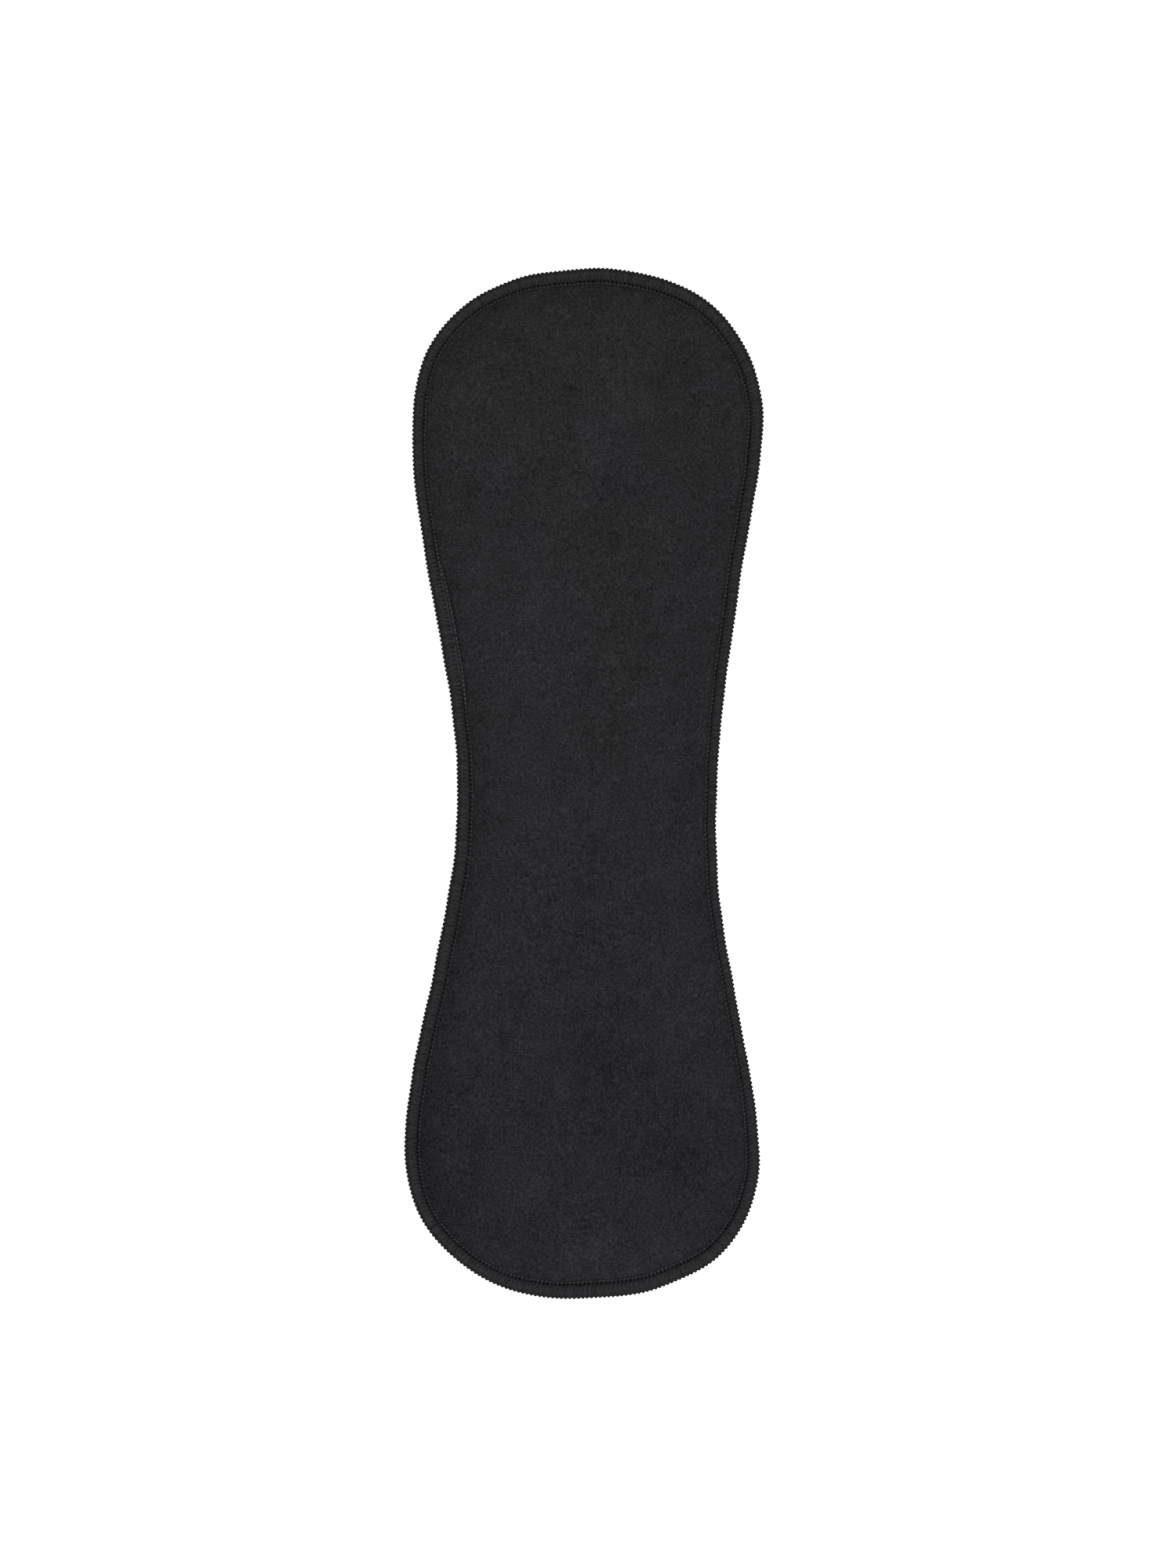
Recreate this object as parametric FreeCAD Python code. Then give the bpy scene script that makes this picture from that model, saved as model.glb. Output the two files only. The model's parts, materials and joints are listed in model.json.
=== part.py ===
import FreeCAD, Part
import math
import os
from typing import NamedTuple

# Contoured absorbent cloth insert: five plies of fabric cut to one hourglass outline and joined
# only by a three-thread overlock seam that runs all the way round the cut edge.
# Millimetres. The insert lies flat: +Z up, +Y along its length towards the front lobe.
# The origin is at the middle of the outline, on the surface that the insert rests on.

# Overall outline, measured over the stitched edge. Across is measured from the length's line.
LENGTH = 380.0
FRONT_HALF_LEFT = 62.6
FRONT_HALF_RIGHT = 66.3
WAIST_HALF_LEFT = 46.1
WAIST_HALF_RIGHT = 48.9
REAR_HALF_LEFT = 65.5
REAR_HALF_RIGHT = 64.8
FRONT_TIP_RIGHT = 4.9  # how far right of the line the front end's tip lies
REAR_TIP_LEFT = 6.4  # how far left of the line the rear end's tip lies
FRONT_END_DEPTH = 57.7  # from the front tip to the front lobe's widest line
REAR_END_DEPTH = 53.1  # from the rear tip to the rear lobe's widest line
WAIST_TO_FRONT_TIP = 198.8

# How full each curve is: an end is a superellipse of this power, and a side falls from its lobe
# to the waist as (1 - s ** entry) ** exit, where s runs from the lobe to the waist.
FRONT_END_POWER_LEFT = 2.37
FRONT_END_POWER_RIGHT = 2.22
REAR_END_POWER_LEFT = 2.00
REAR_END_POWER_RIGHT = 2.38
FRONT_SIDE_LEFT = (2.00, 2.60)
FRONT_SIDE_RIGHT = (1.33, 1.83)
REAR_SIDE_LEFT = (1.77, 2.00)
REAR_SIDE_RIGHT = (1.75, 2.70)

# Plies from the underside up: name, thickness where loose, thickness where the seam presses it.
PLIES = (
    ("back_panel", 0.90, 0.45),
    ("core_ply_1", 0.70, 0.40),
    ("core_ply_2", 0.70, 0.40),
    ("core_ply_3", 0.70, 0.40),
    ("face_panel", 0.90, 0.45),
)

# Seam, measured inwards from the stitched edge.
EDGE_WRAP = 0.40  # thread that wraps the cut edge of the plies
NEEDLE_LINE = 4.90  # middle of the needle thread's row
NEEDLE_THREAD_WIDTH = 0.50
NEEDLE_THREAD_HEIGHT = 0.25
NEEDLE_GROOVE = 0.70  # bare fabric between the looper threads and the needle thread
LOOPER_THICKNESS = 0.30
FLOOR_CLEARANCE = 0.05  # under the lower looper thread
PRESSED_MARGIN = 0.35  # pressed fabric beyond the needle thread
SWELL_WIDTH = 12.0  # from the pressed margin to the full thickness

# Sampling of the outline.
END_STEPS = 9
SIDE_STEPS = 11
OUTLINE_POINTS = 96
LEVEL_TOLERANCE = 1e-9  # two loops this close in height lie in one plane


def end_quarter(tip, half_width, depth, power):
    """Points of an end's quarter, from the lobe's widest line to just before the tip."""
    points = []
    for step in range(END_STEPS):
        angle = math.pi / 2 * step / END_STEPS
        across = tip + (half_width - tip) * math.cos(angle) ** (2 / power)
        along = depth * math.sin(angle) ** (2 / power)
        points.append((across, along))
    return points


def side_fall(lobe, waist, run, fullness):
    """Points of a side, from just past the lobe's widest line to just before the waist."""
    entry, leave = fullness
    points = []
    for step in range(1, SIDE_STEPS):
        share = step / SIDE_STEPS
        fall = (1 - share**entry) ** leave
        points.append((waist + (lobe - waist) * fall, run * share))
    return points


class Side(NamedTuple):
    """One side of the outline, with across positive away from the length's line."""

    front: float
    waist: float
    rear: float
    front_tip: float
    rear_tip: float
    front_power: float
    rear_power: float
    front_side: tuple
    rear_side: tuple

    def points(self):
        """Points from just past the front tip to just before the rear tip."""
        front_line = LENGTH / 2 - FRONT_END_DEPTH
        rear_line = REAR_END_DEPTH - LENGTH / 2
        waist_line = LENGTH / 2 - WAIST_TO_FRONT_TIP
        front_end = end_quarter(self.front_tip, self.front, FRONT_END_DEPTH, self.front_power)
        front_side = side_fall(self.front, self.waist, front_line - waist_line, self.front_side)
        rear_side = side_fall(self.rear, self.waist, waist_line - rear_line, self.rear_side)
        rear_end = end_quarter(self.rear_tip, self.rear, REAR_END_DEPTH, self.rear_power)
        found = [(across, front_line + along) for across, along in reversed(front_end)]
        found += [(across, front_line - along) for across, along in front_side]
        found.append((self.waist, waist_line))
        found += [(across, rear_line + along) for across, along in reversed(rear_side)]
        found += [(across, rear_line - along) for across, along in rear_end]
        return found


RIGHT = Side(
    front=FRONT_HALF_RIGHT,
    waist=WAIST_HALF_RIGHT,
    rear=REAR_HALF_RIGHT,
    front_tip=FRONT_TIP_RIGHT,
    rear_tip=-REAR_TIP_LEFT,
    front_power=FRONT_END_POWER_RIGHT,
    rear_power=REAR_END_POWER_RIGHT,
    front_side=FRONT_SIDE_RIGHT,
    rear_side=REAR_SIDE_RIGHT,
)
LEFT = Side(
    front=FRONT_HALF_LEFT,
    waist=WAIST_HALF_LEFT,
    rear=REAR_HALF_LEFT,
    front_tip=-FRONT_TIP_RIGHT,
    rear_tip=REAR_TIP_LEFT,
    front_power=FRONT_END_POWER_LEFT,
    rear_power=REAR_END_POWER_LEFT,
    front_side=FRONT_SIDE_LEFT,
    rear_side=REAR_SIDE_LEFT,
)


def outline_points():
    """Clockwise points of the whole outline, from the front tip on."""
    points = [FreeCAD.Vector(FRONT_TIP_RIGHT, LENGTH / 2, 0)]
    points += [FreeCAD.Vector(across, along, 0) for across, along in RIGHT.points()]
    points.append(FreeCAD.Vector(-REAR_TIP_LEFT, -LENGTH / 2, 0))
    points += [FreeCAD.Vector(-across, along, 0) for across, along in reversed(LEFT.points())]
    return points


def closed_curve(points):
    """A smooth closed curve through the points."""
    curve = Part.BSplineCurve()
    curve.interpolate(Points=points, PeriodicFlag=True)
    return curve


class Outline:
    """The stitched edge's outline, centred on the origin, and the loops that lie inside it."""

    def __init__(self):
        points = outline_points()
        middle = closed_curve(points).toShape().BoundBox.Center
        edge = closed_curve([point - middle for point in points]).toShape()
        curve = edge.Curve
        even = edge.discretize(Number=OUTLINE_POINTS + 1)[:-1]
        self.points = even
        self.inward = []
        for point in even:
            tangent = curve.tangent(curve.parameter(point))[0]
            self.inward.append(FreeCAD.Vector(tangent.y, -tangent.x, 0))

    def loop(self, inset, height):
        """The closed edge that lies inset from the stitched edge, at this height."""
        lift = FreeCAD.Vector(0, 0, height)
        moved = [p + n * inset + lift for p, n in zip(self.points, self.inward)]
        return closed_curve(moved).toShape()


def disc(loop):
    """The flat face inside a loop."""
    return Part.Face(Part.Wire(loop))


def band(first, second):
    """The face between two loops, flat where both are at one height."""
    if abs(first.BoundBox.ZMin - second.BoundBox.ZMin) < LEVEL_TOLERANCE:
        outer, inner = sorted((first, second), key=lambda e: -e.BoundBox.XLength)
        return disc(outer).cut(disc(inner)).Faces[0]
    return Part.makeRuledSurface(first, second)


def sewn(faces):
    """A solid from faces that close on each other."""
    shell = Part.makeShell(faces)
    shell.sewShape()
    solid = Part.makeSolid(shell)
    if solid.Volume < 0:
        solid.reverse()
    return solid


def ply_solid(outline, section):
    """A ply: faces between neighbouring loops of its section, closed by a disc at each end."""
    loops = [outline.loop(inset, height) for inset, height in section]
    faces = [band(first, second) for first, second in zip(loops, loops[1:])]
    return sewn([disc(loops[0])] + faces + [disc(loops[-1])])


def thread_solid(outline, section):
    """A thread's ring: faces between neighbouring loops of its closed section."""
    loops = [outline.loop(inset, height) for inset, height in section]
    faces = [band(first, second) for first, second in zip(loops, loops[1:] + loops[:1])]
    return sewn(faces)


def stacked_levels():
    """Heights of the ply surfaces from the underside up: (loose, pressed) pairs."""
    levels = [(0.0, FLOOR_CLEARANCE + LOOPER_THICKNESS)]
    for _, loose, pressed in PLIES:
        below = levels[-1]
        levels.append((below[0] + loose, below[1] + pressed))
    return levels


def ply_sections(levels):
    """Each ply's section by name, as (inset, height) pairs from its underside round the edge."""
    pressed_end = NEEDLE_LINE + NEEDLE_THREAD_WIDTH / 2 + PRESSED_MARGIN
    loose_start = pressed_end + SWELL_WIDTH
    sections = {}
    for (name, _, _), below, above in zip(PLIES, levels, levels[1:]):
        sections[name] = (
            (loose_start, below[0]),
            (pressed_end, below[1]),
            (EDGE_WRAP, below[1]),
            (EDGE_WRAP, above[1]),
            (pressed_end, above[1]),
            (loose_start, above[0]),
        )
    return sections


def needle_section(surface):
    """The needle thread's closed section, lying on the face panel's pressed surface."""
    outer = NEEDLE_LINE - NEEDLE_THREAD_WIDTH / 2
    inner = NEEDLE_LINE + NEEDLE_THREAD_WIDTH / 2
    crown = surface + NEEDLE_THREAD_HEIGHT
    return (outer, surface), (inner, surface), (inner, crown), (outer, crown)


def looper_section(surface, middle, outward):
    """A looper thread's closed section: on the pressed surface and round half of the cut edge."""
    reach = NEEDLE_LINE - NEEDLE_THREAD_WIDTH / 2 - NEEDLE_GROOVE
    crown = surface + outward * LOOPER_THICKNESS
    return (
        (0.0, middle),
        (EDGE_WRAP, middle),
        (EDGE_WRAP, surface),
        (reach, surface),
        (reach, crown),
        (0.0, crown),
    )


def build():
    """Every sub-part's solid by name."""
    outline = Outline()
    levels = stacked_levels()
    under = levels[0][1]
    top = levels[-1][1]
    middle = (under + top) / 2
    thread_sections = {
        "needle_thread": needle_section(top),
        "upper_looper_thread": looper_section(top, middle, 1),
        "lower_looper_thread": looper_section(under, middle, -1),
    }
    solids = {}
    for name, section in ply_sections(levels).items():
        solids[name] = ply_solid(outline, section)
    for name, section in thread_sections.items():
        solids[name] = thread_solid(outline, section)
    return solids


def main():
    """Writes one STEP file per sub-part."""
    os.makedirs("parts", exist_ok=True)
    for name, solid in build().items():
        solid.exportStep(f"parts/{name}.step")
        box = solid.BoundBox
        size = f"{box.XLength:.2f} x {box.YLength:.2f} x {box.ZLength:.2f}"
        print(f"{name}: {size} mm, {solid.Volume:.0f} mm3, valid {solid.isValid()}")


main()
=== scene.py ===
"""Looks of a contoured absorbent cloth insert: five plies joined by a three-thread overlock seam.

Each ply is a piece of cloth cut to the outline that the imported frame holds, and each thread of the
seam is modelled as the thread that it is, stitch by stitch. Lengths are in metres.
"""

import json
import logging
import math
from collections.abc import Callable, Sequence
from dataclasses import dataclass
from enum import Enum

import bmesh
import bpy
import numpy as np
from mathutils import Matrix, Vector, geometry, kdtree, noise


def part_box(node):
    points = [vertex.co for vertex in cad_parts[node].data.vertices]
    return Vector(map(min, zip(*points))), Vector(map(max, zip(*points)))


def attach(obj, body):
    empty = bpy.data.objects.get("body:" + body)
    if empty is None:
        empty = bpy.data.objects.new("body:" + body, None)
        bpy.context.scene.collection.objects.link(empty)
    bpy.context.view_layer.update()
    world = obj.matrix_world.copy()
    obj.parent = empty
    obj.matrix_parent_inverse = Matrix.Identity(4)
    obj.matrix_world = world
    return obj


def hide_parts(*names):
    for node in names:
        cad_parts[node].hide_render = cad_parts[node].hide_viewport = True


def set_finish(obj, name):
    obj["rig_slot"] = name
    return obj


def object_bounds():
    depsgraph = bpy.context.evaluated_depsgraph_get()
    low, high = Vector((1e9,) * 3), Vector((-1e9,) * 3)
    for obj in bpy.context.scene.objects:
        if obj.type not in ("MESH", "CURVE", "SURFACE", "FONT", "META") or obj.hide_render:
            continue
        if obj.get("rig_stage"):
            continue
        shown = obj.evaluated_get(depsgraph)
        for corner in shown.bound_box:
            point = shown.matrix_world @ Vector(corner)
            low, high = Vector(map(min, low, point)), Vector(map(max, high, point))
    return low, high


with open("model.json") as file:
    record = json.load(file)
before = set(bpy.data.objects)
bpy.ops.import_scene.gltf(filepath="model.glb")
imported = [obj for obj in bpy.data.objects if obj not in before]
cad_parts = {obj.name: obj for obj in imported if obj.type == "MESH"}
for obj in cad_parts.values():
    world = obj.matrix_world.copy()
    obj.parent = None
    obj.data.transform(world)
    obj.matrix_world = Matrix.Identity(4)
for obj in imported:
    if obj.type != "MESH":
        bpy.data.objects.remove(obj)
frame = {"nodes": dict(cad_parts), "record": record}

MM = 0.001
BODY = "root"
SEED = 11
WELD = 0.001 * MM
UPRIGHT = 0.3
LOG = logging.getLogger("cloth_insert")

Keys = Sequence[tuple[float, float]]
Span = tuple[float, float]
Groups = dict[str, bpy.types.NodeTree]
Colour = tuple[float, float, float]


class Slot(Enum):
    """The record's material slots."""

    KNIT = "brushed_knit"
    CORE = "core_cloth"
    NEEDLE = "needle_sewing_thread"
    LOOPER = "looper_thread"

    def colour(self) -> Colour:
        """The slot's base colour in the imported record."""
        rows = [m for m in frame["record"]["materials"] if m["slot"] == self.value]
        return tuple(rows[0]["base_color"][:3])


class Pattern(Enum):
    """Shifts that give each use of the grain a pattern of its own."""

    EDGE_LUMPS = 6.2
    PUCKERS = 3.7
    LOFT = 1.3
    PATCH_ALONG = 5.1
    PATCH_ACROSS = 9.4


# ---------------------------------------------------------------- shapes shared by every piece


def round_the_seam(keys: Keys) -> Callable[[np.ndarray], np.ndarray]:
    """A smooth value that goes round the seam through a few keys.

    Args:
        keys: (share of the way round, value) pairs, in order, with shares from 0 to 1.

    Returns:
        A function of an array of shares, of any number of laps.
    """
    at = np.array([share for share, _ in keys])
    value = np.array([v for _, v in keys])
    at = np.concatenate([at[-2:] - 1, at, at[:2] + 1])
    value = np.concatenate([value[-2:], value, value[:2]])
    slope = np.gradient(value, at)

    def smooth(share: np.ndarray) -> np.ndarray:
        """Cubic Hermite value at each share.

        Args:
            share: Shares of the way round.

        Returns:
            One value each.
        """
        s = np.mod(share, 1.0)
        i = np.clip(np.searchsorted(at, s, side="right") - 1, 0, len(at) - 2)
        run = at[i + 1] - at[i]
        t = (s - at[i]) / run
        rest = 1 - t
        start = value[i] * (1 + 2 * t) * rest**2 + slope[i] * run * t * rest**2
        end = value[i + 1] * t**2 * (3 - 2 * t) - slope[i + 1] * run * t**2 * rest
        return start + end

    return smooth


def eased(low: float, high: float, x: np.ndarray) -> np.ndarray:
    """0 below low, 1 above high, and a smooth S between them."""
    t = np.clip((x - low) / (high - low), 0.0, 1.0)
    return t * t * (3 - 2 * t)


def plateau(rise: Span, fall: Span, x: np.ndarray) -> np.ndarray:
    """1 between the rise and the fall, 0 outside them, and a smooth S over each."""
    return eased(*rise, x) * (1 - eased(*fall, x))


def grain(points: np.ndarray, size: float, pattern: Pattern) -> np.ndarray:
    """Smooth noise of about -1 to 1 at each point.

    Args:
        points: An (n, 2) array of places.
        size: How far apart the noise's lumps lie.
        pattern: Which pattern the noise has.

    Returns:
        An array of n values.
    """
    shift = pattern.value
    found = [noise.noise(Vector((x / size + shift, y / size - shift, shift))) for x, y in points]
    return np.array(found)


def search_tree(points: np.ndarray) -> kdtree.KDTree:
    """A tree that finds the nearest of these (n, 2) points.

    Args:
        points: The places to find.

    Returns:
        The tree.
    """
    tree = kdtree.KDTree(len(points))
    for i, (x, y) in enumerate(points):
        tree.insert((x, y, 0), i)
    tree.balance()
    return tree


def linked(name: str, data: bpy.types.ID) -> bpy.types.Object:
    """A new object in the scene.

    Args:
        name: Its name.
        data: Its mesh, curve, light or camera.

    Returns:
        The object.
    """
    added = bpy.data.objects.new(name, data)
    bpy.context.scene.collection.objects.link(added)
    return added


def top_rims(node: str) -> list[np.ndarray]:
    """The loops where a node's highest face meets its upright walls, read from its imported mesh.

    Args:
        node: The node's name.

    Returns:
        An (n, 2) array of points for each loop, the longest loop first.
    """
    bm = bmesh.new()
    bm.from_mesh(frame["nodes"][node].data)
    bmesh.ops.remove_doubles(bm, verts=bm.verts, dist=WELD)
    crown = max(v.co.z for v in bm.verts) - WELD
    beside: dict[bmesh.types.BMVert, list[bmesh.types.BMVert]] = {}
    for e in bm.edges:
        level = all(v.co.z > crown for v in e.verts)
        if level and any(abs(f.normal.z) < UPRIGHT for f in e.link_faces):
            for v in e.verts:
                beside.setdefault(v, []).append(e.other_vert(v))
    loops = []
    while beside:
        here = next(iter(beside))
        loop = []
        while here is not None:
            loop.append((here.co.x, here.co.y))
            here = next((v for v in beside.pop(here) if v in beside), None)
        loops.append(np.array(loop))
    bm.free()
    return sorted(loops, key=lambda p: -np.linalg.norm(np.diff(p, axis=0), axis=1).sum())


@dataclass
class SewnEdge:
    """The stitched edge seen from above: the frame's outline, with the lumps that sewing leaves.

    Shares of the way round start at the front tip and run clockwise. The seam starts and ends on the
    left side, where its last stitches lie over its first ones. wander holds how many millimetres
    further in the needle ran at some shares. parting, meeting, covering and uncovering are shares
    past the overlap's start or end. The shaded spans are depths into the seam, where the overlap's
    raised second row hides the groove.
    """

    samples: int = 1860
    harmonics: int = 64
    lump_height: float = 0.55 * MM
    lump_size: float = 17 * MM
    wander: Keys = (
        (0.02, 0.5),
        (0.35, -1.0),
        (0.49, 1.1),
        (0.55, 0.3),
        (0.72, 0.5),
        (0.86, -0.6),
    )
    overlap: Span = (0.778, 0.844)
    parting: Span = (-0.003, 0.018)
    meeting: Span = (-0.021, -0.004)
    covering: Span = (-0.004, 0.002)
    uncovering: Span = (0.0, 0.006)
    shaded_band: tuple[Span, Span] = ((1.5 * MM, 2.5 * MM), (4.8 * MM, 6.2 * MM))
    shaded_row: tuple[Span, Span] = ((4.3 * MM, 4.7 * MM), (5.2 * MM, 5.7 * MM))
    plain_depth: float = 1.8 * MM
    evening: float = 0.8
    second_row: float = 1.1 * MM
    pitch: float = 1.6 * MM

    def __post_init__(self) -> None:
        """Reads the outline and the needle's row from the frame."""
        outline = self._evened(top_rims("upper_looper_thread")[0])
        lump = grain(outline, self.lump_size, Pattern.EDGE_LUMPS) * self.lump_height
        self.points = outline - self._inward(outline) * lump[:, None]
        self.inward = self._inward(self.points)
        steps = np.linalg.norm(np.roll(self.points, -1, axis=0) - self.points, axis=1)
        self.length = float(steps.sum())
        self.lap = round(self.length / self.pitch)
        self._drift = round_the_seam(self.wander)
        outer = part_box("upper_looper_thread")[1].x
        row = [np.abs(loop[:, 0]).max() for loop in top_rims("needle_thread")]
        self.needle = float(outer - sum(row) / len(row))
        self._tree = search_tree(self.points)

    def _evened(self, loop: np.ndarray) -> np.ndarray:
        """The loop at even steps, clockwise from the front tip, with its facets smoothed out.

        Args:
            loop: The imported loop's points.

        Returns:
            An (n, 2) array.
        """
        x, y = loop[:, 0], loop[:, 1]
        if np.dot(x, np.roll(y, -1)) > np.dot(y, np.roll(x, -1)):
            loop = loop[::-1]
        loop = np.roll(loop, -int(loop[:, 1].argmax()), axis=0)
        closed = np.vstack([loop, loop[:1]])
        run = np.concatenate([[0], np.cumsum(np.linalg.norm(np.diff(closed, axis=0), axis=1))])
        even = np.linspace(0, run[-1], self.samples, endpoint=False)
        plane = np.interp(even, run, closed[:, 0]) + 1j * np.interp(even, run, closed[:, 1])
        waves = np.fft.fft(plane)
        waves[self.harmonics + 1 : -self.harmonics] = 0
        smooth = np.fft.ifft(waves)
        return np.stack([smooth.real, smooth.imag], axis=1)

    @staticmethod
    def _inward(points: np.ndarray) -> np.ndarray:
        """Unit directions into the cloth at each point of a clockwise loop.

        Args:
            points: The loop.

        Returns:
            An (n, 2) array.
        """
        along = np.roll(points, -1, axis=0) - np.roll(points, 1, axis=0)
        along /= np.linalg.norm(along, axis=1)[:, None]
        return np.stack([along[:, 1], -along[:, 0]], axis=1)

    def drift(self, share: np.ndarray) -> np.ndarray:
        """How far further in than usual the needle ran at each share."""
        return self._drift(share) * MM

    def doubled(self, share: np.ndarray) -> np.ndarray:
        """1 where the seam lies over its own start, 0 elsewhere."""
        return self._in_overlap(share, self.parting, self.meeting)

    def covered(self, share: np.ndarray) -> np.ndarray:
        """1 all along the overlap, also where the second row still runs beside the first."""
        return self._in_overlap(share, self.covering, self.uncovering)

    def _in_overlap(self, share: np.ndarray, past_start: Span, past_end: Span) -> np.ndarray:
        """1 in the overlap, easing over these shares past its start and its end.

        Args:
            share: Shares of the way round.
            past_start: Where it rises.
            past_end: Where it falls.

        Returns:
            One value each.
        """
        start, end = self.overlap
        rise = (start + past_start[0], start + past_start[1])
        fall = (end + past_end[0], end + past_end[1])
        return plateau(rise, fall, np.mod(share, 1.0))

    def at(self, share: np.ndarray, inset: np.ndarray) -> np.ndarray:
        """Places at these shares of the way round, this far in from the stitched edge.

        Args:
            share: Shares of the way round, of any number of laps.
            inset: Distances in from the edge, one each or one for all.

        Returns:
            An (n, 2) array.
        """
        step = np.mod(share, 1.0) * self.samples
        i = step.astype(int) % self.samples
        j = (i + 1) % self.samples
        t = (step - np.floor(step))[:, None]
        place = self.points[i] * (1 - t) + self.points[j] * t
        inward = self.inward[i] * (1 - t) + self.inward[j] * t
        return place + inward * np.broadcast_to(inset, share.shape)[:, None]

    def locate(self, points: np.ndarray) -> tuple[np.ndarray, np.ndarray]:
        """How far in each point is and its share of the way round, by the nearest part of the edge.

        Args:
            points: An (n, 2) array of places.

        Returns:
            The insets and the shares.
        """
        near = np.array([self._tree.find((x, y, 0))[1] for x, y in points])
        away = points - self.points[near]
        inward = self.inward[near]
        inset = (away * inward).sum(axis=1)
        ahead = (away[:, 1] * inward[:, 0] - away[:, 0] * inward[:, 1]) / self.length
        half_step = 0.5 / self.samples
        return inset, near / self.samples + np.clip(ahead, -half_step, half_step)

    def drifted(self, inset: np.ndarray, share: np.ndarray) -> np.ndarray:
        """Insets of the even seam, carried to where the needle really ran."""
        return inset + self.drift(share) * np.clip(inset / self.needle, 0, 1)

    def undrifted(self, inset: np.ndarray, share: np.ndarray) -> np.ndarray:
        """The insets that the same places would have on an even seam."""
        line = self.needle + self.drift(share)
        return np.where(inset < line, inset * self.needle / line, inset - self.drift(share))

    def depth_of_shade(self, points: np.ndarray) -> np.ndarray:
        """Millimetres in from the edge of an even single seam, for the finishes' shading.

        Args:
            points: An (n, 2) array of places.

        Returns:
            One depth each.
        """
        inset, share = self.locate(points)
        doubled = self.doubled(share)
        even = self.undrifted(inset, share)
        even = even - self.second_row * doubled * np.clip(even / self.needle, 0, 1)
        band = plateau(*self.shaded_band, even) * doubled
        row = plateau(*self.shaded_row, even) * self.covered(share)
        raised = np.maximum(band, row)
        return (even - (even - self.plain_depth) * self.evening * raised) / MM


@dataclass
class Pad:
    """Heights of the ply surfaces: pressed flat in the seam, swelling to full loft inside it."""

    edge: SewnEdge
    plies: tuple[str, ...] = ("back_panel", "core_ply_1", "core_ply_2", "core_ply_3", "face_panel")
    pressed_margin: float = 0.5 * MM
    swell: float = 13 * MM
    fullness: float = 2.2
    groove_depth: float = 0.30 * MM
    groove_width: float = 0.40 * MM
    groove_outside_needle: float = 0.60 * MM
    lift_reach: float = 26 * MM
    pucker: float = 0.32 * MM
    pucker_reach: float = 6.0 * MM
    pucker_size: float = 4.5 * MM
    relief_start: float = 2.5 * MM
    loft_lump: float = 0.14 * MM
    loft_lump_size: float = 17 * MM
    lift: Keys = (
        (0.00, 0.25),
        (0.07, 1.10),
        (0.15, 0.20),
        (0.24, 0.80),
        (0.33, 0.10),
        (0.42, 1.25),
        (0.50, 0.20),
        (0.58, 0.90),
        (0.68, 0.15),
        (0.79, 0.70),
        (0.92, 0.10),
    )

    def __post_init__(self) -> None:
        """Reads the heights of the ply surfaces from the frame, loose and pressed."""
        needle_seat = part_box("needle_thread")[0].z
        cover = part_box("upper_looper_thread")[1].z - needle_seat
        seats = [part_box(ply)[0].z for ply in self.plies[1:]]
        self.loose = [0.0] + [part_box(ply)[1].z for ply in self.plies]
        self.pressed = [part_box("lower_looper_thread")[0].z + cover, *seats, needle_seat]
        self._lift = round_the_seam(self.lift)
        self.relief: ClothRelief | None = None

    def height(self, level: int, inset: np.ndarray, share: np.ndarray) -> np.ndarray:
        """Height of a ply surface, before the soft relief of the cloth.

        Args:
            level: 0 for the underside up to 5 for the face.
            inset: Distances in from the stitched edge.
            share: Shares of the way round.

        Returns:
            One height each.
        """
        even = self.edge.undrifted(inset, share)
        start = self.edge.needle + self.pressed_margin
        rise = 1 - (1 - np.clip((even - start) / self.swell, 0, 1)) ** self.fullness
        base = self.pressed[level] + (self.loose[level] - self.pressed[level]) * rise
        lift = self._lift(share) * MM * np.exp(-((inset / self.lift_reach) ** 2))
        return base + lift

    def surface(self, level: int, points: np.ndarray) -> np.ndarray:
        """Height of a ply surface as it lies, with its relief, at each point.

        Args:
            level: 0 for the underside up to 5 for the face.
            points: An (n, 2) array of places.

        Returns:
            One height each.
        """
        inset, share = self.edge.locate(points)
        even = self.edge.undrifted(inset, share)
        top = len(self.loose) - 1
        along = share * self.edge.length
        inside = eased(self.edge.needle, self.edge.needle + self.relief_start, even)
        line = np.stack([along, np.zeros_like(along)], axis=1)
        ridge = grain(line, self.pucker_size, Pattern.PUCKERS)
        ridge *= np.exp(-np.clip(even - self.edge.needle, 0, None) / self.pucker_reach) * inside
        lump = grain(points, self.loft_lump_size, Pattern.LOFT) * inside
        relief = ridge * self.pucker + lump * self.loft_lump
        if self.relief is not None:
            relief = relief + self.relief.at(points) * inside
        offset = (even - self.edge.needle + self.groove_outside_needle) / self.groove_width
        groove = self.groove_depth * np.exp(-(offset**2)) if level == top else 0.0
        return self.height(level, inset, share) + relief * level / top - groove


# ---------------------------------------------------------------- nap and painted shade


@dataclass(frozen=True)
class NapAndShadePatch:
    """A patch of lighter or darker cloth: partly where the brushed nap lies another way, partly painted
    shade.

    Lengths are in millimetres from the middle of the insert, and turn is in degrees.
    """

    x: float
    y: float
    half_length: float
    half_width: float
    turn: float
    change: float

    def at(self, points: np.ndarray) -> np.ndarray:
        """The relative change of tone at each point.

        Args:
            points: An (n, 2) array of places.

        Returns:
            One change each.
        """
        turn = math.radians(self.turn)
        away = points / MM - (self.x, self.y)
        along = away[:, 0] * math.cos(turn) + away[:, 1] * math.sin(turn)
        across = away[:, 1] * math.cos(turn) - away[:, 0] * math.sin(turn)
        away_squared = (along / self.half_length) ** 2 + (across / self.half_width) ** 2
        return self.change * np.exp(-away_squared)


# Some patches are where the nap lies another way; others, such as the large darker one over the rear
# lobe, are painted shade.
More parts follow.
